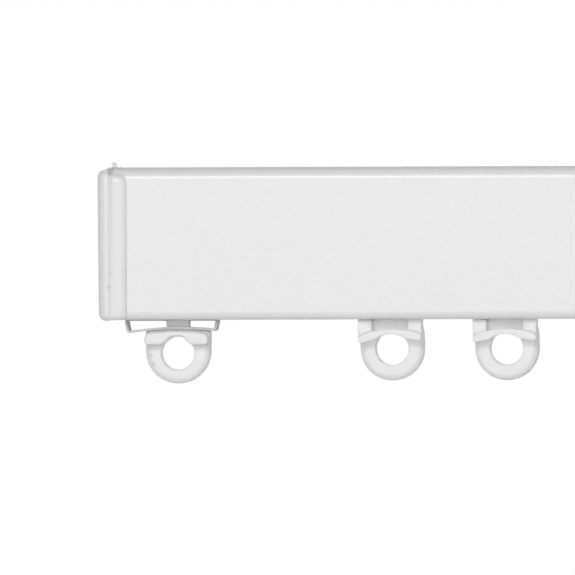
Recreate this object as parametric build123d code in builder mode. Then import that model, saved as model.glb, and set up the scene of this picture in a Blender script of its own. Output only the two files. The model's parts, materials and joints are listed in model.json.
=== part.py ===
from build123d import *
import os

# Wall curtain track: a hollow extruded rail with end caps, gliders, sprung end stops and
# turn-lock wall brackets. Sizes are in millimetres. X runs along the rail, the room is at -Y,
# the wall face is the plane Y = 0 and Z is up. The origin is the middle of the wall screw holes.

# Rail, an extrusion with a glider channel below and a bracket chamber above
rail_length = 600.0
rail_height = 30.0
rail_depth = 15.0
rail_skin = 1.2
top_radius = 2.3  # front edge at the top
bottom_radius = 1.6  # front edge at the bottom
back_radius = 0.6
lip_thickness = 1.4  # the two lips that carry the gliders
slot_width = 3.6  # gap between those lips
skirt_drop = 0.35  # front wall below the lips
skirt_width = 2.2
channel_height = 6.0  # room above the lips for the glider heads
mouth_height = 6.4  # long opening in the back for the bracket noses
wall_gap = 18.0  # from the wall to the back of the rail

# End caps, each a flange with a tongue over the rail's front and plugs in its two chambers
cap_gap = 0.4  # between the flange and the sawn end of the rail
flange_thickness = 2.3
flange_shy = 0.4  # flange top below the rail's top
flange_drop = 0.15  # flange bottom below the rail's underside
flange_proud = 0.25  # flange front ahead of the tongue
flange_edge_radius = 1.5
flange_bevel = 0.9  # front edges at the top and bottom
cap_lean = 0.16  # the outer face leans in towards its foot
tongue_length = 3.3
tongue_thickness = 0.9
tongue_shy = 1.3  # tongue top below the rail's top
tongue_corner_radius = 1.3
tongue_bevel = 0.6
plug_fit = 0.1
plug_length = 10.0
plug_wall = 1.2
foot_length = 4.0  # lower plug, in the glider channel

# Heads and stems that run in the rail, the same on gliders and end stops
head_length = 7.0
head_thickness = 2.6
head_side_gap = 1.0
head_corner = 1.8  # chamfer at the head's corners
slot_clearance = 0.35
run_gap = 0.25  # below the head, above the lips

# Gliders, each an eye plate with two cheeks and an arched bridge across its front
glider_count = 7
glider_inset = 54.57  # outermost glider from the rail's end
glider_pitch = 22.7  # between the two gliders parked at each end
odd_tilt = 2.4  # degrees that a glider leans in its slack, right side up
even_tilt = 1.7
body_gap = 0.3  # between the lips and a glider's body
body_taper = 0.5  # the plate narrows this much on each side towards its top
taper_drop = 3.3  # and from this far below the lips
stem_length = 11.0
eye_radius = 6.3
eye_drop = 6.1  # eye centre below the lips
hole_radius = 3.27
eye_thickness = 4.2
eye_bevel = 0.95  # round the front of the rim; the back is flat
cheek_width = 2.8
cheek_depth = 2.8
cheek_drop = 4.2  # cheeks' foot below the lips
pocket_depth = 2.4  # hook room between the eye plate and the bridge
bridge_thickness = 1.4
bridge_drop = 2.2  # bridge top below the lips, at the middle
bridge_waist = 1.05  # bridge height at the middle
bridge_end_height = 1.5
bridge_sag = 1.2  # fall of the bridge's top towards its ends
arch_half_width = 3.0  # round part of the bridge's lower edge
arch_rise = 1.05
bridge_corner = 0.5  # bevel at the bridge's ends

# End stops, each an eye plate on a narrow neck with a notched bar across its front
stop_inset = 12.48  # end stop from the rail's end
stop_eye_radius = 6.4
stop_eye_drop = 6.47
stop_hole_drop = 6.9  # the hole sits a little low in its eye
neck_length = 4.5
neck_front = 1.75  # thick part of the neck, ahead of the slot's middle
neck_gap = 0.25  # between the lips and that thick part
shoulder_drop = 2.2  # top of the shoulders below the lips, at the neck
shoulder_fall = 0.33  # fall of the shoulders towards their ends
bar_width = 12.3
bar_height = 2.4
bar_drop = 2.9
bar_bow = 0.3  # fall of the bar's top towards its ends
bar_waist = 0.75  # bar height over the notch
bar_depth = 3.4
bar_corner = 0.75  # bevel at the bar's ends
notch_half_width = 1.2  # flat top of the notch over the eye
notch_flare = 1.65

# Springs of the end stops, each a thin strip bent into a flat loop round the neck
spring_thickness = 0.45
spring_depth = 4.9
spring_top_width = 18.6
spring_base_width = 17.5
spring_offset = 1.2  # the strip sits off the neck's middle, towards the left
spring_bend_radius = 0.6
spring_gap = 0.08  # below the lips
neck_fit = 0.15  # round the neck
seat_fit = 0.03  # on the shoulders

# Wall brackets, each a wall plate, an arm and a seat with a nose in the rail's mouth
bracket_spacing = 400.0
bracket_width = 16.0
plate_height = 28.0
plate_thickness = 3.0
plate_corner = 1.5  # bevel at the plate's corners
screw_spacing = 20.0
screw_hole_radius = 2.25
arm_thickness = 2.8
seat_thickness = 2.8
seat_drop = 6.0
nose_fit = 0.15
bend_radius = 2.0
gusset_thickness = 1.6
gusset_reach = 6.0
gusset_drop = 8.0

# Turn locks, each an oblong head on a shaft, with a lever on the shaft's square end
lock_reach = 4.9  # half the head's length
lock_width = 5.6
lock_thickness = 2.2
lock_gap = 0.15  # between the head and the inside of the rail's back
lock_room = 1.5  # below the head's sweep, above the chamber's floor
shaft_radius = 2.0
shaft_clearance = 0.05
drive_width = 2.6
drive_fit = 0.03
hub_radius = 2.8
hub_clearance = 0.4
lever_gap = 0.1
lever_length = 13.0
lever_thickness = 2.4
lever_tip_radius = 1.7
thumb_rib_width = 1.2
thumb_rib_height = 1.5

# Places worked out from those sizes: the rail hangs round the brackets' noses
rail_back = -wall_gap
rail_front = rail_back - rail_depth
rail_middle = (rail_back + rail_front) / 2
rail_end = rail_length / 2
chamber_floor = -(lock_reach + lock_room)
channel_roof = chamber_floor - rail_skin
channel_floor = channel_roof - channel_height
lip_bottom = channel_floor - lip_thickness
rail_bottom = lip_bottom - skirt_drop
rail_top = rail_bottom + rail_height
chamber_roof = rail_top - rail_skin
skirt_back = rail_front + skirt_width
inner_front = rail_front + rail_skin
inner_back = rail_back - rail_skin
inner_width = rail_depth - 2 * rail_skin
chamber_radius = max(top_radius - rail_skin, 0)
head_width = inner_width - 2 * head_side_gap
stem_width = slot_width - 2 * slot_clearance

os.makedirs("parts", exist_ok=True)


def save(shape, name):
    shape.label = name
    export_step(shape, f"parts/{name}.step")


def add_head():
    # The head that runs on the rail's lips, above a stem that is drawn up to it
    with BuildSketch(Plane.XY.offset(lip_thickness + run_gap)) as head:
        Rectangle(head_length, head_width)
        chamfer(head.vertices(), length=head_corner)
    extrude(head.sketch, amount=head_thickness)


# Rail: the outer section less its chamber, channel, slot and mouth
with BuildPart() as rail:
    with BuildSketch(Plane.YZ.offset(-rail_end)):
        with BuildLine():
            FilletPolyline(
                (rail_front, rail_top),
                (rail_back, rail_top),
                (rail_back, lip_bottom),
                (skirt_back, lip_bottom),
                (skirt_back, rail_bottom),
                (rail_front, rail_bottom),
                radius=[top_radius, back_radius, back_radius, 0, 0, bottom_radius],
                close=True,
            )
        make_face()
        with BuildLine():
            FilletPolyline(
                (inner_front, chamber_roof),
                (inner_back, chamber_roof),
                (inner_back, chamber_floor),
                (inner_front, chamber_floor),
                radius=[chamber_radius, 0, 0, 0],
                close=True,
            )
        make_face(mode=Mode.SUBTRACT)
        with Locations((rail_middle, (channel_floor + channel_roof) / 2)):
            Rectangle(inner_width, channel_height, mode=Mode.SUBTRACT)
        with Locations((rail_middle, channel_floor)):
            Rectangle(slot_width, 2 * lip_thickness, mode=Mode.SUBTRACT)
        with Locations((rail_back, 0)):
            Rectangle(2 * rail_skin, mouth_height, mode=Mode.SUBTRACT)
    extrude(amount=rail_length)
save(rail.part, "rail")


# Left end cap: flange, tongue and two plugs
flange_outer = -rail_end - cap_gap - flange_thickness
flange_inner = -rail_end - cap_gap
flange_top = rail_top - flange_shy
flange_bottom = rail_bottom - flange_drop
tongue_back = rail_front - plug_fit
tongue_front = tongue_back - tongue_thickness
tongue_top = rail_top - tongue_shy
flange_front = tongue_front - flange_proud

with BuildPart() as end_cap:
    # The tongue laps over the rail's front face, with its free edges bevelled
    with BuildSketch(Plane.XZ.offset(-tongue_back)):
        with BuildLine():
            FilletPolyline(
                (flange_inner - flange_thickness / 2, tongue_top),
                (flange_inner + tongue_length, tongue_top),
                (flange_inner + tongue_length, rail_bottom),
                (flange_inner - flange_thickness / 2, rail_bottom),
                radius=[0, tongue_corner_radius, 0, 0],
                close=True,
            )
        make_face()
    extrude(amount=tongue_thickness)
    tongue_edges = end_cap.faces().sort_by(Axis.Y)[0].edges()
    chamfer(tongue_edges.sort_by(Axis.X)[1:], length=tongue_bevel)

    # The flange covers the rail's end, and its outer face leans a little
    with BuildSketch(Plane.XZ.offset(-rail_back)):
        with BuildLine():
            Polyline(
                (flange_inner, flange_top),
                (flange_inner, flange_bottom),
                (flange_outer + cap_lean, flange_bottom),
                (flange_outer, flange_top),
                close=True,
            )
        make_face()
    extrude(amount=rail_back - flange_front)
    front_edges = end_cap.faces().sort_by(Axis.Y)[0].edges().sort_by(Axis.Z)
    chamfer([front_edges[0], front_edges[-1]], length=flange_bevel)
    fillet(end_cap.faces().sort_by(Axis.X)[0].edges(), radius=flange_edge_radius)

    # Hollow plug in the chamber
    with BuildSketch(Plane.YZ.offset(flange_inner)):
        with BuildLine():
            FilletPolyline(
                (inner_front + plug_fit, chamber_roof - plug_fit),
                (inner_back - plug_fit, chamber_roof - plug_fit),
                (inner_back - plug_fit, chamber_floor + plug_fit),
                (inner_front + plug_fit, chamber_floor + plug_fit),
                radius=[chamber_radius, 0, 0, 0],
                close=True,
            )
        make_face()
        with Locations((rail_middle, (chamber_floor + chamber_roof) / 2)):
            Rectangle(
                inner_width - 2 * (plug_fit + plug_wall),
                chamber_roof - chamber_floor - 2 * (plug_fit + plug_wall),
                mode=Mode.SUBTRACT,
            )
    extrude(amount=plug_length)

    # Solid foot in the glider channel
    with BuildSketch(Plane.YZ.offset(flange_inner)):
        with Locations((rail_middle, (channel_floor + channel_roof) / 2)):
            Rectangle(inner_width - 2 * plug_fit, channel_height - 2 * plug_fit)
    extrude(amount=foot_length)
save(end_cap.part, "end_cap_left")

with BuildPart() as right_cap:
    add(end_cap.part)
    mirror(about=Plane.YZ, mode=Mode.REPLACE)
save(right_cap.part, "end_cap_right")


# Glider, drawn about the slot's middle with Z = 0 at the underside of the lips
bridge_back = eye_thickness / 2 + pocket_depth
bridge_end_top = -bridge_drop - bridge_sag
bridge_end_bottom = bridge_end_top - bridge_end_height
arch_top = -bridge_drop - bridge_waist
arch_foot = arch_top - arch_rise

with BuildPart() as glider:
    # Eye plate, tapered above and round below
    with BuildSketch(Plane.XZ):
        with BuildLine():
            Polyline(
                (-eye_radius, -eye_drop),
                (-eye_radius, -taper_drop),
                (body_taper - eye_radius, -body_gap),
                (eye_radius - body_taper, -body_gap),
                (eye_radius, -taper_drop),
                (eye_radius, -eye_drop),
            )
            ThreePointArc(
                (eye_radius, -eye_drop),
                (0, -eye_drop - eye_radius),
                (-eye_radius, -eye_drop),
            )
        make_face()
    extrude(amount=eye_thickness / 2, both=True)
    rim = glider.faces().sort_by(Axis.Y)[0].edges()
    top_edges = glider.faces().sort_by(Axis.Z)[-1].edges()
    chamfer(rim - top_edges, length=eye_bevel)
    with BuildSketch(Plane.XZ):
        with Locations((0, -eye_drop)):
            Circle(hole_radius)
    extrude(amount=eye_thickness, both=True, mode=Mode.SUBTRACT)

    # Cheeks either side of the pocket
    with BuildSketch(Plane.XZ.offset(eye_thickness / 2 - eye_bevel)):
        with Locations((0, -(body_gap + cheek_drop) / 2)):
            with GridLocations(2 * eye_radius - cheek_width, 0, 2, 1):
                Rectangle(cheek_width, cheek_drop - body_gap)
    extrude(amount=eye_bevel + cheek_depth)

    # Bridge, bowed along its top and arched over the eye
    with BuildSketch(Plane.XZ.offset(bridge_back)) as bridge:
        with BuildLine():
            ThreePointArc(
                (-eye_radius, bridge_end_top),
                (0, -bridge_drop),
                (eye_radius, bridge_end_top),
            )
            Line((eye_radius, bridge_end_top), (eye_radius, bridge_end_bottom))
            Line((eye_radius, bridge_end_bottom), (arch_half_width, arch_foot))
            ThreePointArc(
                (arch_half_width, arch_foot),
                (0, arch_top),
                (-arch_half_width, arch_foot),
            )
            Line((-arch_half_width, arch_foot), (-eye_radius, bridge_end_bottom))
            Line((-eye_radius, bridge_end_bottom), (-eye_radius, bridge_end_top))
        make_face()
        bridge_ends = bridge.vertices().group_by(Axis.X)[0] + bridge.vertices().group_by(Axis.X)[-1]
        chamfer(bridge_ends, length=bridge_corner)
    extrude(amount=bridge_thickness)

    # Stem through the slot and head on the lips
    with BuildSketch(Plane.XY.offset(-body_gap)):
        Rectangle(stem_length, stem_width)
    extrude(amount=body_gap + lip_thickness + run_gap)
    add_head()

# Two gliders are parked at each end of the rail, and the rest are spread evenly between them
parked = rail_end - glider_inset - glider_pitch
spread = 2 * parked / (glider_count - 3)
for number in range(1, glider_count + 1):
    if number == 1:
        place = -parked - glider_pitch
    elif number == glider_count:
        place = parked + glider_pitch
    else:
        place = -parked + (number - 2) * spread
    tilt = odd_tilt if number % 2 else even_tilt
    hung = Location((place, rail_middle, lip_bottom), (0, -tilt, 0))
    save(glider.part.moved(hung), f"glider_{number}")


# End stop, drawn about the slot's middle with Z = 0 at the underside of the lips
bar_top = -bar_drop
bar_end_top = bar_top - bar_bow
bar_bottom = bar_top - bar_height
shoulder_end = -shoulder_drop - shoulder_fall
shoulder_radius = (stop_eye_radius**2 + shoulder_fall**2) / (2 * shoulder_fall)

with BuildPart() as end_stop:
    # Eye plate with bowed shoulders
    with BuildSketch(Plane.XZ):
        with BuildLine():
            Line((-stop_eye_radius, -stop_eye_drop), (-stop_eye_radius, shoulder_end))
            ThreePointArc(
                (-stop_eye_radius, shoulder_end),
                (0, -shoulder_drop),
                (stop_eye_radius, shoulder_end),
            )
            Line((stop_eye_radius, shoulder_end), (stop_eye_radius, -stop_eye_drop))
            ThreePointArc(
                (stop_eye_radius, -stop_eye_drop),
                (0, -stop_eye_drop - stop_eye_radius),
                (-stop_eye_radius, -stop_eye_drop),
            )
        make_face()
    extrude(amount=eye_thickness / 2, both=True)
    rim = end_stop.faces().sort_by(Axis.Y)[0].edges()
    top_edges = end_stop.faces().sort_by(Axis.Z)[-1].edges()
    chamfer(rim - top_edges, length=eye_bevel)
    with BuildSketch(Plane.XZ):
        with Locations((0, -stop_hole_drop)):
            Circle(hole_radius)
    extrude(amount=eye_thickness, both=True, mode=Mode.SUBTRACT)

    # Bar across the front, bowed along its top and notched over the eye
    with BuildSketch(Plane.XZ) as bar:
        with BuildLine():
            ThreePointArc(
                (-bar_width / 2, bar_end_top),
                (0, bar_top),
                (bar_width / 2, bar_end_top),
            )
            Polyline(
                (bar_width / 2, bar_end_top),
                (bar_width / 2, bar_bottom),
                (notch_half_width + notch_flare, bar_bottom),
                (notch_half_width, bar_top - bar_waist),
                (-notch_half_width, bar_top - bar_waist),
                (-notch_half_width - notch_flare, bar_bottom),
                (-bar_width / 2, bar_bottom),
                (-bar_width / 2, bar_end_top),
            )
        make_face()
        bar_ends = bar.vertices().group_by(Axis.X)[0] + bar.vertices().group_by(Axis.X)[-1]
        chamfer(bar_ends, length=bar_corner)
    extrude(amount=eye_thickness / 2 + bar_depth)

    # Neck up through the spring, thick at the front, then through the slot to the head on the lips
    with BuildSketch(Plane.XY.offset(shoulder_end)):
        with Locations((0, stem_width / 2)):
            Rectangle(neck_length, stem_width / 2 + neck_front, align=(Align.CENTER, Align.MAX))
    extrude(amount=-neck_gap - shoulder_end)
    with BuildSketch(Plane.XY.offset(shoulder_end)):
        Rectangle(neck_length, stem_width)
    extrude(amount=-shoulder_end + lip_thickness + run_gap)
    add_head()


# Spring: the strip's section is a ring between two bowed trapeziums, open above the neck
spring_low = -shoulder_drop + seat_fit
bow_centre = -shoulder_drop - shoulder_radius
bow_radius = spring_low - bow_centre


def bow_height(x):
    # Height of the strip's lower face, which follows the shoulders
    return bow_centre + (bow_radius**2 - x**2) ** 0.5


with BuildPart() as spring:
    base_left = -spring_base_width / 2 - spring_offset
    base_right = spring_base_width / 2 - spring_offset
    with BuildSketch(Plane.XZ.offset(-spring_depth / 2)) as loop:
        with BuildLine():
            ThreePointArc(
                (base_left, bow_height(base_left)),
                (0, spring_low),
                (base_right, bow_height(base_right)),
            )
            Polyline(
                (base_right, bow_height(base_right)),
                (spring_top_width / 2 - spring_offset, -spring_gap),
                (-spring_top_width / 2 - spring_offset, -spring_gap),
                (base_left, bow_height(base_left)),
            )
        make_face()
        fillet(loop.vertices(), radius=spring_bend_radius)
        offset(amount=-spring_thickness, mode=Mode.SUBTRACT)
    extrude(amount=spring_depth)

    # Room for the neck: a window in the base, and a gap right through the top
    with BuildSketch(Plane.XY.offset(shoulder_end)):
        with Locations((0, (stem_width / 2 - neck_front) / 2)):
            Rectangle(neck_length + 2 * neck_fit, stem_width / 2 + neck_front + 2 * neck_fit)
    extrude(amount=-shoulder_end, mode=Mode.SUBTRACT)
    with BuildSketch(Plane.XY.offset(-spring_gap - 2 * spring_thickness)):
        Rectangle(neck_length + 2 * neck_fit, 2 * spring_depth)
    extrude(amount=2 * spring_thickness + spring_gap, mode=Mode.SUBTRACT)

for side, place in (("left", -rail_end + stop_inset), ("right", rail_end - stop_inset)):
    hung = Location((place, rail_middle, lip_bottom))
    save(end_stop.part.moved(hung), f"end_stop_{side}")
    save(spring.part.moved(hung), f"stop_spring_{side}")


# Bracket, drawn about its own middle
arm_bottom = hub_radius + hub_clearance
arm_top = arm_bottom + arm_thickness
seat_back = rail_back + seat_thickness

with BuildPart() as bracket:
    # Wall plate
    with BuildSketch(Plane.XZ) as plate:
        Rectangle(bracket_width, plate_height)
        chamfer(plate.vertices(), length=plate_corner)
    extrude(amount=plate_thickness)

    # Arm out to the rail and seat down its back
    with BuildSketch(Plane.YZ):
        with BuildLine():
            FilletPolyline(
                (-plate_thickness / 2, arm_top),
                (rail_back, arm_top),
                (rail_back, -seat_drop),
                (seat_back, -seat_drop),
                (seat_back, arm_bottom),
                (-plate_thickness / 2, arm_bottom),
                radius=[0, bend_radius, 0, 0, 0, 0],
                close=True,
            )
        make_face()
    extrude(amount=bracket_width / 2, both=True)

    # Gussets under the arm
    with BuildSketch(Plane.YZ) as gusset:
        with BuildLine():
            Polyline(
                (-plate_thickness / 2, arm_bottom + arm_thickness / 2),
                (-plate_thickness - gusset_reach, arm_bottom + arm_thickness / 2),
                (-plate_thickness - gusset_reach, arm_bottom),
                (-plate_thickness, arm_bottom - gusset_drop),
                (-plate_thickness / 2, arm_bottom - gusset_drop),
                close=True,
            )
        make_face()
    extrude(amount=bracket_width / 2, both=True)
    with BuildSketch(Plane.YZ):
        with Locations((-plate_thickness - gusset_reach / 2, arm_bottom - gusset_drop / 2)):
            Rectangle(gusset_reach, gusset_drop)
    extrude(amount=bracket_width / 2 - gusset_thickness, both=True, mode=Mode.SUBTRACT)

    # Nose in the rail's mouth, and the bore for the lock's shaft
    with BuildSketch(Plane.XZ.offset(-rail_back)):
        Rectangle(bracket_width, mouth_height - 2 * nose_fit)
    extrude(amount=rail_skin)
    with BuildSketch(Plane.XZ.offset(-seat_back)):
        Circle(shaft_radius + shaft_clearance)
    extrude(amount=seat_thickness + rail_skin, mode=Mode.SUBTRACT)

    # Screw holes, above and below the arm
    with Locations(Plane(origin=(0, -plate_thickness, 0), x_dir=(1, 0, 0), z_dir=(0, -1, 0))):
        with GridLocations(0, screw_spacing, 1, 2):
            Hole(radius=screw_hole_radius, depth=plate_thickness)


# Turn lock: oblong head inside the rail, shaft through the seat, square drive behind it
head_back = inner_back - lock_gap
lever_front = seat_back + lever_gap
lever_back = lever_front + lever_thickness

with BuildPart() as lock_cam:
    with BuildSketch(Plane.XZ.offset(-head_back)):
        Circle(lock_reach)
        Rectangle(lock_width, 2 * lock_reach, mode=Mode.INTERSECT)
    extrude(amount=lock_thickness)
    with BuildSketch(Plane.XZ.offset(-lever_front)):
        Circle(shaft_radius)
    extrude(amount=lever_front - head_back)
    with BuildSketch(Plane.XZ.offset(-lever_back)):
        Rectangle(drive_width, drive_width)
    extrude(amount=lever_thickness)

with BuildPart() as lock_lever:
    with BuildSketch(Plane.XZ.offset(-lever_back)):
        Circle(hub_radius)
        with Locations((lever_length, 0)):
            Circle(lever_tip_radius)
        make_hull()
        Rectangle(drive_width + 2 * drive_fit, drive_width + 2 * drive_fit, mode=Mode.SUBTRACT)
    extrude(amount=lever_thickness)
    with BuildSketch(Plane.XZ.offset(-lever_back)):
        with Locations((lever_length, 0)):
            Rectangle(thumb_rib_width, 2 * lever_tip_radius)
    extrude(amount=-thumb_rib_height)

for side, place in (("left", -bracket_spacing / 2), ("right", bracket_spacing / 2)):
    fixed = Location((place, 0, 0))
    save(bracket.part.moved(fixed), f"bracket_{side}")
    save(lock_cam.part.moved(fixed), f"lock_cam_{side}")
    save(lock_lever.part.moved(fixed), f"lock_lever_{side}")
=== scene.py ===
import json
import math
import random

import bmesh
import bpy
from mathutils import Matrix, Vector


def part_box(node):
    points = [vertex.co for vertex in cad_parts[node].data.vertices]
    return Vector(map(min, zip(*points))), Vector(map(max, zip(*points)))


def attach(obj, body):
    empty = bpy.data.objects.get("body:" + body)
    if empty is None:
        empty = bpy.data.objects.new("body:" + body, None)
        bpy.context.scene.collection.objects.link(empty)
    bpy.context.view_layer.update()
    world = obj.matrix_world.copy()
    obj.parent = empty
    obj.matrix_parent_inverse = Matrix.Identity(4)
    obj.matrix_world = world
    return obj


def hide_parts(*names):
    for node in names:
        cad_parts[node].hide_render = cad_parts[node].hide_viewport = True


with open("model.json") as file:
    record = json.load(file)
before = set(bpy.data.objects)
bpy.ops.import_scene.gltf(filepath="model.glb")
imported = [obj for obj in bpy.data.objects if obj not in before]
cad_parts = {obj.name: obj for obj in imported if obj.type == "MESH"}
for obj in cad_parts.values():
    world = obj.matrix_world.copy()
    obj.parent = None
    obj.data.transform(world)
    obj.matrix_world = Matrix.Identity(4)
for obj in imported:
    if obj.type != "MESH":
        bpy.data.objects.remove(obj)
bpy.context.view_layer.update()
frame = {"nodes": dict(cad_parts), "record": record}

MM = 0.001

# The photograph's view: how far round to the right, above the horizon and tilted, in degrees
view_azimuth = 6.0
view_elevation = 0.2
view_roll = -0.2
view_distance = 4.8
view_width = 112.9 * MM
view_centre_x = -265.18 * MM
view_centre_z = -9.03 * MM
sensor_width = 36.0

# A small lamp above the front, a broad panel about level with the object, lamps at the right
# and behind, and a dome that is dimmer overhead
key_azimuth = -6.0
key_elevation = 20.0
key_size = 0.3
key_level = 0.26
panel_azimuth = 0.0
panel_elevation = -3.0
panel_size = 0.9
panel_level = 0.33
side_azimuth = 55.0
side_elevation = -6.0
side_size = 0.8
side_level = 0.11
fill_azimuth = 180 + key_azimuth
fill_elevation = 0.0
fill_size = 1.6
fill_level = 0.52
lamp_distance = 1.5
dome_level = 0.45
dome_top_level = 0.22
dome_top_height = 0.7  # the upward part of the directions from which the dome is dimmest
floor_drop = 0.2
floor_radius = 1.4
floor_tone = 0.85
floor_glow = 0.5


def direction(azimuth, elevation):
    """Unit vector from the object towards a place round it; azimuth 0 is the room side."""
    a = math.radians(azimuth)
    e = math.radians(elevation)
    return Vector((math.sin(a) * math.cos(e), -math.cos(a) * math.cos(e), math.sin(e)))


def link(thing):
    bpy.context.scene.collection.objects.link(thing)
    return thing


def ramp(value):
    return min(max(value, 0), 1)


# Camera
rail_low, rail_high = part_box("rail")
target = Vector((view_centre_x, rail_low.y, view_centre_z))


def make_camera():
    data = bpy.data.cameras.new("photo_camera")
    data.sensor_width = sensor_width
    data.lens = sensor_width * view_distance / view_width
    data.clip_start = 0.1
    data.clip_end = 30.0
    camera = link(bpy.data.objects.new("photo_camera", data))
    back = direction(view_azimuth, view_elevation)
    camera.rotation_mode = "QUATERNION"
    level = (-back).to_track_quat("-Z", "Y").to_matrix()
    tilted = level @ Matrix.Rotation(math.radians(view_roll), 3, "Z")
    camera.rotation_quaternion = tilted.to_quaternion()
    camera.location = target + back * view_distance
    bpy.context.scene.camera = camera


# Lights, each given as the brightness that a white surface facing it would take
def make_softbox(name, azimuth, elevation, size, level):
    data = bpy.data.lights.new(name, "AREA")
    data.shape = "DISK"
    data.size = size
    data.energy = level * math.pi**2 * (lamp_distance**2 + (size / 2) ** 2)
    lamp = link(bpy.data.objects.new(name, data))
    away = direction(azimuth, elevation)
    lamp.location = target + away * lamp_distance
    lamp.rotation_mode = "QUATERNION"
    lamp.rotation_quaternion = away.to_track_quat("Z", "Y")
    lamp.visible_camera = False
    return lamp


def seen_directly(nodes, links):
    """One for rays that show the background itself, nought for the light it gives."""
    path = nodes.new("ShaderNodeLightPath")
    either = nodes.new("ShaderNodeMath")
    either.operation = "MAXIMUM"
    links.new(path.outputs["Is Camera Ray"], either.inputs[0])
    links.new(path.outputs["Is Glossy Ray"], either.inputs[1])
    both = nodes.new("ShaderNodeMath")
    both.operation = "MAXIMUM"
    links.new(either.outputs[0], both.inputs[0])
    links.new(path.outputs["Is Transmission Ray"], both.inputs[1])
    return both.outputs[0]


def make_world():
    world = bpy.data.worlds.new("white_surround")
    bpy.context.scene.world = world
    world.use_nodes = True
    nodes = world.node_tree.nodes
    links = world.node_tree.links
    background = nodes["Background"]
    background.inputs["Color"].default_value = (1, 1, 1, 1)
    height = nodes.new("ShaderNodeSeparateXYZ")
    links.new(nodes.new("ShaderNodeTexCoord").outputs["Generated"], height.inputs[0])
    dome = nodes.new("ShaderNodeMapRange")
    dome.inputs["From Max"].default_value = dome_top_height
    dome.inputs["To Min"].default_value = dome_level
    dome.inputs["To Max"].default_value = dome_top_level
    links.new(height.outputs["Z"], dome.inputs["Value"])
    strength = nodes.new("ShaderNodeMapRange")
    strength.inputs["To Max"].default_value = 1.0
    links.new(seen_directly(nodes, links), strength.inputs["Value"])
    links.new(dome.outputs["Result"], strength.inputs["To Min"])
    links.new(strength.outputs["Result"], background.inputs["Strength"])


def make_floor():
    mesh = bpy.data.meshes.new("floor")
    built = bmesh.new()
    bmesh.ops.create_circle(built, cap_ends=True, segments=96, radius=floor_radius)
    built.to_mesh(mesh)
    built.free()
    floor = link(bpy.data.objects.new("floor", mesh))
    floor.location = (0, 0, rail_low.z - floor_drop)
    material = bpy.data.materials.new("pale_floor")
    material.use_nodes = True
    nodes = material.node_tree.nodes
    links = material.node_tree.links
    shader = nodes["Principled BSDF"]
    shader.inputs["Base Color"].default_value = (floor_tone, floor_tone, floor_tone, 1)
    shader.inputs["Roughness"].default_value = 0.9
    shader.inputs["Emission Color"].default_value = (1, 1, 1, 1)
    glow = nodes.new("ShaderNodeMath")
    glow.operation = "MULTIPLY"
    glow.inputs[1].default_value = floor_glow
    links.new(seen_directly(nodes, links), glow.inputs[0])
    links.new(glow.outputs[0], shader.inputs["Emission Strength"])
    mesh.materials.append(material)


# Materials
spot_core = 0.3  # share of a smudge's radius that has its full tone


class Shade:
    """A material under construction, with short ways to add and join nodes."""

    def __init__(self, name):
        self.material = bpy.data.materials.new(name)
        self.material.use_nodes = True
        self.nodes = self.material.node_tree.nodes
        self.links = self.material.node_tree.links
        self.shader = self.nodes["Principled BSDF"]
        self.place = self.nodes.new("ShaderNodeTexCoord").outputs["Object"]

    def set(self, **values):
        for name, value in values.items():
            self.shader.inputs[name.replace("_", " ")].default_value = value

    def feed(self, socket, name):
        self.links.new(socket, self.shader.inputs[name])

    def stretched(self, scale):
        node = self.nodes.new("ShaderNodeMapping")
        node.inputs["Scale"].default_value = scale
        self.links.new(self.place, node.inputs["Vector"])
        return node.outputs["Vector"]

    def noise(self, scale, detail=2.0, rough=0.5, along=None):
        node = self.nodes.new("ShaderNodeTexNoise")
        node.inputs["Scale"].default_value = scale
        node.inputs["Detail"].default_value = detail
        node.inputs["Roughness"].default_value = rough
        self.links.new(along or self.place, node.inputs["Vector"])
        return node.outputs["Fac"]

    def remap(self, socket, low, high, to_low, to_high, smooth=False):
        node = self.nodes.new("ShaderNodeMapRange")
        node.interpolation_type = "SMOOTHSTEP" if smooth else "LINEAR"
        names = ("From Min", "From Max", "To Min", "To Max")
        for name, value in zip(names, (low, high, to_low, to_high)):
            node.inputs[name].default_value = value
        self.links.new(socket, node.inputs["Value"])
        return node.outputs["Result"]

    def math(self, operation, first, second):
        node = self.nodes.new("ShaderNodeMath")
        node.operation = operation
        for number, value in enumerate((first, second)):
            if isinstance(value, (int, float)):
                node.inputs[number].default_value = value
            else:
                self.links.new(value, node.inputs[number])
        return node.outputs[0]

    def blend(self, amount, first, second):
        node = self.nodes.new("ShaderNodeMix")
        node.data_type = "RGBA"
        self.links.new(amount, node.inputs["Factor"])
        for name, value in (("A", first), ("B", second)):
            socket = next(s for s in node.inputs if s.name == name and s.type == "RGBA")
            if isinstance(value, tuple):
                socket.default_value = value
            else:
                self.links.new(value, socket)
        return next(s for s in node.outputs if s.type == "RGBA")

    def bump(self, height, strength, depth):
        node = self.nodes.new("ShaderNodeBump")
        node.inputs["Strength"].default_value = strength
        node.inputs["Distance"].default_value = depth
        self.links.new(height, node.inputs["Height"])
        self.feed(node.outputs["Normal"], "Normal")

    def spot(self, centre, radius, ragged):
        """One at a marked place, falling to nought with a ragged edge."""
        node = self.nodes.new("ShaderNodeVectorMath")
        node.operation = "DISTANCE"
        self.links.new(self.place, node.inputs[0])
        node.inputs[1].default_value = centre
        uneven = self.math("MULTIPLY_ADD", ragged, radius)
        uneven.node.inputs[2].default_value = -radius / 2
        distance = self.math("ADD", node.outputs["Value"], uneven)
        return self.remap(distance, radius * spot_core, radius, 1, 0, smooth=True)


def grey(level):
    return (level, level, level, 1)


scatter_depth = 0.7 * MM


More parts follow.
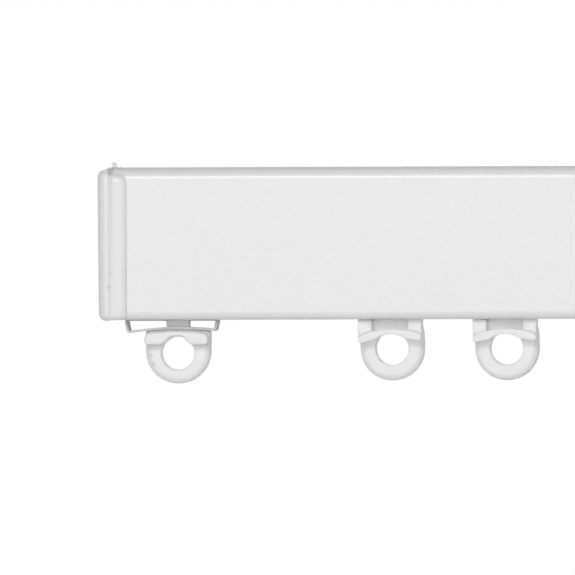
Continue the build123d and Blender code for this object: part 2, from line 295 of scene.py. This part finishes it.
def make_rail_material():
    """Extruded PVC: fine lines along its length, a faint mottle and a fine grain."""
    shade = Shade("white_pvc")
    shade.set(IOR=1.46, Specular_IOR_Level=0.4)
    lines = shade.noise(1.0, detail=4, along=shade.stretched((4, 2600, 2600)))
    mottle = shade.noise(900, detail=5, rough=0.7)
    grain = shade.noise(2600, detail=3)
    tone = shade.math("ADD", shade.math("MULTIPLY", lines, 0.3), shade.math("MULTIPLY", mottle, 0.7))
    shade.feed(shade.blend(tone, grey(0.745), grey(0.81)), "Base Color")
    shade.feed(shade.remap(grain, 0.3, 0.7, 0.25, 0.29), "Roughness")
    shade.bump(shade.math("ADD", lines, shade.math("MULTIPLY", grain, 0.6)), 0.08, 0.02 * MM)
    return shade.material


def make_moulded_material(name, tone, dull, grain_scale, grain, gleam=0.12, marks=(), mark_tone=0.8):
    """Moulded plastic: flow marks, a fine grain, slightly uneven gloss and a few smudges.

    Each of marks is a smudge's (centre, radius).
    """
    shade = Shade(name)
    shade.set(IOR=1.46, Specular_IOR_Level=gleam)
    shade.set(Subsurface_Weight=0.5, Subsurface_Radius=(1, 1, 1), Subsurface_Scale=scatter_depth)
    flow = shade.noise(160, detail=3, rough=0.6)
    specks = shade.noise(grain_scale, detail=3)
    colour = shade.blend(flow, grey(tone - 0.015), grey(tone + 0.015))
    for centre, radius in marks:
        colour = shade.blend(shade.spot(centre, radius, specks), colour, grey(tone * mark_tone))
    shade.feed(colour, "Base Color")
    shade.feed(shade.remap(flow, 0.3, 0.7, dull, dull + 0.05), "Roughness")
    shade.bump(shade.math("ADD", specks, flow), grain, 0.03 * MM)
    return shade.material


def make_spring_material():
    """Bright steel strip, drawn along its length."""
    shade = Shade("spring_strip")
    shade.set(Metallic=1.0)
    drawn = shade.noise(1.0, detail=5, along=shade.stretched((60, 3800, 3800)))
    stain = shade.noise(400, detail=3)
    tone = shade.math("ADD", shade.math("MULTIPLY", drawn, 0.6), shade.math("MULTIPLY", stain, 0.4))
    shade.feed(shade.blend(tone, grey(0.2), grey(0.32)), "Base Color")
    shade.feed(shade.remap(drawn, 0.3, 0.7, 0.42, 0.56), "Roughness")
    shade.bump(drawn, 0.15, 0.02 * MM)
    return shade.material


# Softened copies of the moulded pieces
weld_distance = 0.0005 * MM


def softened_mesh(node, voxel, rounds, further=()):
    """The node's mesh with its edges rounded off, as a moulding's are.

    Each of further is (test, rounds): the points that pass the test are rounded that much more.
    """
    mesh = frame["nodes"][node].data.copy()
    mesh.name = f"{node}_softened"
    built = bmesh.new()
    built.from_mesh(mesh)
    bmesh.ops.remove_doubles(built, verts=built.verts, dist=weld_distance)
    built.to_mesh(mesh)
    built.free()
    worker = link(bpy.data.objects.new("worker", mesh))
    remesh = worker.modifiers.new("even", "REMESH")
    remesh.mode = "VOXEL"
    remesh.voxel_size = voxel
    made = bpy.data.meshes.new_from_object(worker.evaluated_get(bpy.context.evaluated_depsgraph_get()))
    made.name = mesh.name
    bpy.data.objects.remove(worker)
    bpy.data.meshes.remove(mesh)
    built = bmesh.new()
    built.from_mesh(made)
    zones = [(built.verts, rounds)]
    for test, count in further:
        zones.append(([v for v in built.verts if test(v.co)], count))
    for verts, count in zones:
        for _ in range(count):
            bmesh.ops.smooth_vert(
                built, verts=verts, factor=0.5, use_axis_x=True, use_axis_y=True, use_axis_z=True
            )
    built.to_mesh(made)
    built.free()
    made.polygons.foreach_set("use_smooth", [True] * len(made.polygons))
    made.materials.clear()
    return made


def thinned(mesh, share):
    """The mesh with that share of its triangles, taken out where it is flattest."""
    worker = link(bpy.data.objects.new("worker", mesh))
    fewer = worker.modifiers.new("fewer", "DECIMATE")
    fewer.ratio = share
    made = bpy.data.meshes.new_from_object(worker.evaluated_get(bpy.context.evaluated_depsgraph_get()))
    made.name = mesh.name
    bpy.data.objects.remove(worker)
    bpy.data.meshes.remove(mesh)
    return made


def body_with(node):
    bodies = frame["record"]["behaviour"]["bodies"]
    return next(name for name, members in bodies.items() if node in members)


def stand_in(node, mesh, drawn_at, material):
    """Shows a softened mesh in a node's place; drawn_at is the node that it was made from."""
    piece = link(bpy.data.objects.new(f"{node}_soft", mesh))
    piece.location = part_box(node)[0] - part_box(drawn_at)[0]
    if not mesh.materials:
        mesh.materials.append(material)
    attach(piece, body_with(node))
    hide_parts(node)


def paint(node, material):
    mesh = frame["nodes"][node].data
    mesh.materials.clear()
    mesh.materials.append(material)


# Where the gliders and end stops change under the rail: cheeks, pockets and rings by height,
# plates, pocket walls and bars by distance
cheek_line = rail_low.z - 0.7 * MM
pocket_line = rail_low.z - 2.1 * MM
ring_line = rail_low.z - 5.0 * MM
plate_middle = (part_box("end_stop_left")[0].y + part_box("end_stop_left")[1].y) / 2
back_line = plate_middle + 0.6 * MM
pocket_wall_from = 2.2 * MM
pocket_wall_to = 4.6 * MM
bar_depth = 2.4 * MM

# The gliders' cheeks lean back towards the rail's foot, and the wedge that their tilt leaves is filled
cheek_crown_height = 1.7 * MM
cheek_crown_depth = 0.9 * MM
cheek_crown_fade = 0.3 * MM
pocket_half_width = 3.3 * MM
pocket_blend = 0.5 * MM
cheek_wedge = 0.22 * MM
wedge_blend = 1.0 * MM
wedge_start = 1.2  # blend lengths below the rail's foot
wedge_stop = 0.2 * MM  # above the rail's foot


def level_cheeks(mesh, middle_x):
    front = min(v.co.y for v in mesh.vertices if v.co.z < ring_line)
    for vertex in mesh.vertices:
        rise = (vertex.co.z - rail_low.z) / cheek_crown_height + 1
        if 0 < rise < 1 + cheek_crown_fade / cheek_crown_height:
            fade = min(1 - (vertex.co.z - rail_low.z) / cheek_crown_fade, 1)
            forward = ramp((plate_middle - vertex.co.y) / (plate_middle - front))
            outside = ramp((abs(vertex.co.x - middle_x) - pocket_half_width) / pocket_blend)
            vertex.co.y += cheek_crown_depth * min(rise, 1) ** 2 * forward * fade * outside
    left = min(v.co.x for v in mesh.vertices)
    half = (max(v.co.x for v in mesh.vertices) - left) / 2
    for vertex in mesh.vertices:
        near_rail = ramp((vertex.co.z - rail_low.z) / wedge_blend + wedge_start)
        if vertex.co.z < rail_low.z + wedge_stop:
            vertex.co.z += cheek_wedge * near_rail * max(1 - (vertex.co.x - left) / half, 0)


# The rounding shortens a stop's bar and sharpens its ends,
# so its length, height and blunt ends are put back
bar_lengthening = 0.035
bar_heightening = 0.32
bar_bluntness = 0.5
bar_blend = 1.0 * MM


def restore_bar(mesh, bar_back):
    fronts = [v.co for v in mesh.vertices if v.co.y < bar_back and v.co.z < rail_low.z]
    left = min(co.x for co in fronts)
    right = max(co.x for co in fronts)
    low = min(co.z for co in fronts)
    high = max(co.z for co in fronts)
    half = (high - low) / 2
    for co in fronts:
        share = min((bar_back - co.y) / bar_blend, 1)
        along = co.x - (left + right) / 2
        rise = co.z - (low + high) / 2
        to_end = max(abs(along) - (right - left) / 2 + half, 0) / half
        co.x += along * bar_lengthening * share
        co.z += (rise * bar_bluntness * to_end**2 + max(rise, 0) * bar_heightening) * share


# Cap fronts: a parting line between flange and tongue, deepest near the top, and a crowned top edge
score_inset = 0.02 * MM
score_half_width = 0.26 * MM
score_depth_top = 0.3 * MM
score_depth_foot = 0.06 * MM
crown_height = 1.5 * MM
crown_depth = 0.22 * MM
cap_front_depth = 1.0 * MM
tongue_shy = 1.3 * MM
tongue_line = rail_high.z - tongue_shy

# The tongues press a little into the rail's face, and what the rounding takes off their free edges
# is put back
tongue_press = 0.3 * MM
tongue_press_from = 0.45 * MM
tongue_widening = 0.36 * MM
tongue_heightening = 0.34 * MM
free_edge_width = 1.5 * MM


def on_tongue(co):
    return abs(co.x) < rail_high.x and co.y < rail_low.y


def finish_tongue(mesh, inward):
    reach = max(rail_high.x - abs(v.co.x) for v in mesh.vertices if on_tongue(v.co))
    for co in [v.co for v in mesh.vertices if on_tongue(v.co)]:
        to_edge = ramp((rail_high.x - abs(co.x) - reach) / free_edge_width + 1)
        to_top = ramp((co.z - tongue_line) / free_edge_width + 1)
        co.x += tongue_widening * to_edge * inward
        co.z += tongue_heightening * to_top
        co.y += tongue_press * ramp((co.y - rail_low.y) / tongue_press_from + 1)


def finish_cap(mesh, score_x):
    front = min(v.co.y for v in mesh.vertices)
    foot = min(v.co.z for v in mesh.vertices)
    for vertex in mesh.vertices:
        if vertex.co.y > front + cap_front_depth:
            continue
        across = (vertex.co.x - score_x) / score_half_width
        if abs(across) < 1:
            rise = ((vertex.co.z - foot) / (tongue_line - foot)) ** 3
            depth = score_depth_foot + (score_depth_top - score_depth_foot) * min(rise, 1)
            vertex.co.y += depth * (1 - across**2)
        bend = ramp((vertex.co.z - tongue_line) / crown_height + 1)
        vertex.co.y += crown_depth * bend**2


# Swarf that the saw left at the left end of the rail's top edge, and greyer crumbs in the gap at the
# left cap whose grey is painted shade there. Each group has its count of curls, then the ranges of
# their x from the sawn end, drop down the rounded edge, radius and width, in millimetres, and of their
# sweep in radians
burr_seed = 11
edge_radius = 2.3
pale_swarf = (
    (16, (0.35, 0.9), (0, 0.1), (1.0, 2.0), (0.25, 0.5), (0.9, 1.4)),
    (3, (0.25, 0.6), (0, 0.1), (1.5, 2.1), (0.12, 0.18), (0.9, 1.2)),
)
# Greyer crumbs: swarf at the foot of the curls, and in the first group crumbs that fill the gap between
# the left cap and the rail's end, their grey painted shade standing in for the shade in that gap
swarf_and_gap_shade = (
    (30, (-0.36, -0.06), (0.7, 1.7), (0.12, 0.22), (0.2, 0.34), (1.5, 3.4)),
    (24, (-0.6, 0.0), (0.05, 0.5), (0.06, 0.16), (0.15, 0.3), (1.5, 3.2)),
    (44, (-1.0, -0.1), (0.3, 0.9), (0.06, 0.16), (0.15, 0.3), (1.5, 3.2)),
    (26, (0.0, 1.4), (0, 0.25), (0.08, 0.22), (0.15, 0.35), (1.5, 3.2)),
    (34, (-0.15, 0.42), (0.2, 1.25), (0.06, 0.12), (0.15, 0.26), (1.5, 3.2)),
    (3, (1.7, 1.95), (0, 0.1), (0.15, 0.28), (0.15, 0.3), (1.5, 3.2)),
)
curl_stations = 11
curl_thickness = 0.07 * MM
curl_tightening = 0.45
curl_narrowing = 0.65


def add_curl(built, root, heading, radius, width, sweep):
    """A ribbon that rises from its root and rolls over towards its heading, narrowing to its tip."""
    forward = Vector((math.cos(heading), math.sin(heading), 0))
    sideways = Vector((-math.sin(heading), math.cos(heading), 0))
    rings = []
    for station in range(curl_stations):
        share = station / (curl_stations - 1)
        angle = sweep * share
        roll = radius * (1 - curl_tightening * share)
        rise = Vector((0, 0, roll * math.sin(angle)))
        middle = root + forward * (roll * (1 - math.cos(angle))) + rise
        outward = forward * -math.cos(angle) + Vector((0, 0, math.sin(angle)))
        half = sideways * (width / 2 * (1 - curl_narrowing * share))
        thick = outward * (curl_thickness / 2)
        corners = (
            middle - half - thick,
            middle + half - thick,
            middle + half + thick,
            middle - half + thick,
        )
        rings.append([built.verts.new(corner) for corner in corners])
    for low, high in zip(rings, rings[1:]):
        for number in range(4):
            after = (number + 1) % 4
            built.faces.new((low[number], low[after], high[after], high[number]))
    built.faces.new(rings[0][::-1])
    built.faces.new(rings[-1])


def make_burr(name, groups, material):
    draw = random.Random(burr_seed)
    corner = Vector((rail_low.x, rail_low.y, rail_high.z))
    built = bmesh.new()
    for count, x_range, drop_range, radius_range, width_range, sweep_range in groups:
        for _ in range(count):
            x = draw.uniform(*x_range)
            drop = draw.uniform(*drop_range)
            depth = edge_radius - math.sqrt(edge_radius**2 - (edge_radius - drop) ** 2)
            radius = draw.uniform(*radius_range)
            width = draw.uniform(*width_range)
            sweep = draw.uniform(*sweep_range)
            heading = draw.uniform(0, 2 * math.pi)
            root = corner + Vector((x, depth, -drop)) * MM
            add_curl(built, root, heading, radius * MM, width * MM, sweep)
    bmesh.ops.recalc_face_normals(built, faces=built.faces)
    mesh = bpy.data.meshes.new(name)
    built.to_mesh(mesh)
    built.free()
    mesh.materials.append(material)
    burr = link(bpy.data.objects.new(name, mesh))
    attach(burr, "track")


def make_swarf_material(name, low, high):
    """Torn PVC, in uneven greys."""
    shade = Shade(name)
    shade.set(Roughness=0.6, Specular_IOR_Level=0.2)
    patches = shade.noise(1800, detail=3)
    shade.feed(shade.blend(shade.remap(patches, 0.35, 0.65, 0, 1), grey(low), grey(high)), "Base Color")
    shade.bump(patches, 0.3, 0.03 * MM)
    return shade.material


sides = ("left", "right")
cap_smudges = (
    ((-299.95 * MM, -34.0 * MM, -6.3 * MM), 0.8 * MM),
    ((-300.3 * MM, -34.0 * MM, -8.9 * MM), 0.75 * MM),
)
ring_smudges = (
    ((-292.75 * MM, -27.4 * MM, -22.3 * MM), 0.42 * MM),
    ((-292.3 * MM, -27.4 * MM, -22.6 * MM), 0.36 * MM),
    ((-292.2 * MM, -27.4 * MM, -24.0 * MM), 0.5 * MM),
)
rail_material = make_rail_material()
cap_look = {"tone": 0.76, "dull": 0.19, "grain_scale": 3000, "grain": 0.1, "gleam": 0.35}
glider_look = {"tone": 0.86, "dull": 0.3, "grain_scale": 3600, "grain": 0.06, "gleam": 0.03}
cap_materials = {
    "left": make_moulded_material("white_cap", marks=cap_smudges, mark_tone=0.9, **cap_look),
    "right": make_moulded_material("clean_cap", **cap_look),
}
glider_material = make_moulded_material("white_glider", **glider_look)
stop_materials = {
    "left": make_moulded_material("white_stop", marks=ring_smudges, **glider_look),
    "right": glider_material,
}
bracket_look = {"tone": 0.8, "dull": 0.5, "grain_scale": 2200, "grain": 0.25}
lock_look = {"tone": 0.8, "dull": 0.34, "grain_scale": 3200, "grain": 0.08}
bracket_material = make_moulded_material("white_bracket", **bracket_look)
lock_material = make_moulded_material("white_lock", **lock_look)
spring_material = make_spring_material()

paint("rail", rail_material)
for side in sides:
    paint(f"stop_spring_{side}", spring_material)
make_burr("saw_curls", pale_swarf, make_swarf_material("torn_pvc", 0.8, 0.94))
# Greyer crumbs, partly swarf and partly painted shade filling the gap at the rail's end
make_burr("saw_crumbs_and_gap_shade", swarf_and_gap_shade, make_swarf_material("pvc_crumbs_and_gap_shade", 0.48, 0.7))

# Edges near the rail stay crisper; rings, plate backs, pocket corners and front bars are rounded most
first_rounds = 2
cheek_rounds = 9
ring_rounds = 14
back_rounds = 16
pocket_rounds = 34
bar_rounds = 20
cap_rounds = 20
free_edge_rounds = 40
small_voxel = 0.16 * MM
cap_voxel = 0.17 * MM
kept_share = 0.6  # of a softened copy's triangles
kept_cap_share = 0.35

below_cheeks = (lambda co: co.z < cheek_line, cheek_rounds)
rings = (lambda co: co.z < ring_line, ring_rounds)
backs = (lambda co: co.z < cheek_line and co.y > back_line, back_rounds)


def pocket_zone(middle_x):
    def inside(co):
        in_wall = pocket_wall_from < abs(co.x - middle_x) < pocket_wall_to
        return in_wall and pocket_line < co.z < rail_low.z

    return (inside, pocket_rounds)


def free_edge_zone(tongue_end):
    def inside(co):
        near_end = abs(co.x) < tongue_end + free_edge_width
        return on_tongue(co) and (near_end or co.z > tongue_line - free_edge_width)

    return (inside, free_edge_rounds)


glider_nodes = sorted(name for name in frame["nodes"] if name.startswith("glider_"))
for leaning_alike in (glider_nodes[0::2], glider_nodes[1::2]):
    drawn = leaning_alike[0]
    middle_x = (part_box(drawn)[0].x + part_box(drawn)[1].x) / 2
    zones = (below_cheeks, rings, backs, pocket_zone(middle_x))
    mesh = softened_mesh(drawn, small_voxel, first_rounds, zones)
    level_cheeks(mesh, middle_x)
    mesh = thinned(mesh, kept_share)
    for node in leaning_alike:
        stand_in(node, mesh, drawn, glider_material)

for side, score_x, inward in (
    ("left", rail_low.x + score_inset, 1),
    ("right", rail_high.x - score_inset, -1),
):
    stop = f"end_stop_{side}"
    bar_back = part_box(stop)[0].y + bar_depth
    bar = (lambda co: co.y < bar_back, bar_rounds)
    stop_mesh = softened_mesh(stop, small_voxel, first_rounds, (below_cheeks, rings, backs, bar))
    restore_bar(stop_mesh, bar_back)
    stand_in(stop, thinned(stop_mesh, kept_share), stop, stop_materials[side])
    cap = f"end_cap_{side}"
    tongue_end = min(abs(v.co.x) for v in frame["nodes"][cap].data.vertices if on_tongue(v.co))
    cap_mesh = softened_mesh(cap, cap_voxel, cap_rounds, (free_edge_zone(tongue_end),))
    finish_tongue(cap_mesh, inward)
    finish_cap(cap_mesh, score_x)
    stand_in(cap, thinned(cap_mesh, kept_cap_share), cap, cap_materials[side])

for kind, voxel, rounds, material in (
    ("bracket", 0.26 * MM, 5, bracket_material),
    ("lock_cam", 0.2 * MM, 4, lock_material),
    ("lock_lever", 0.2 * MM, 5, lock_material),
):
    mesh = thinned(softened_mesh(f"{kind}_left", voxel, rounds), kept_share)
    for side in sides:
        stand_in(f"{kind}_{side}", mesh, f"{kind}_left", material)

make_camera()
make_softbox("key", key_azimuth, key_elevation, key_size, key_level)
make_softbox("panel", panel_azimuth, panel_elevation, panel_size, panel_level)
make_softbox("side", side_azimuth, side_elevation, side_size, side_level)
fill = make_softbox("fill", fill_azimuth, fill_elevation, fill_size, fill_level)
fill.visible_glossy = False  # its mirror image would turn the caps' end faces white
make_world()
make_floor()
bpy.context.scene.view_settings.view_transform = "Standard"
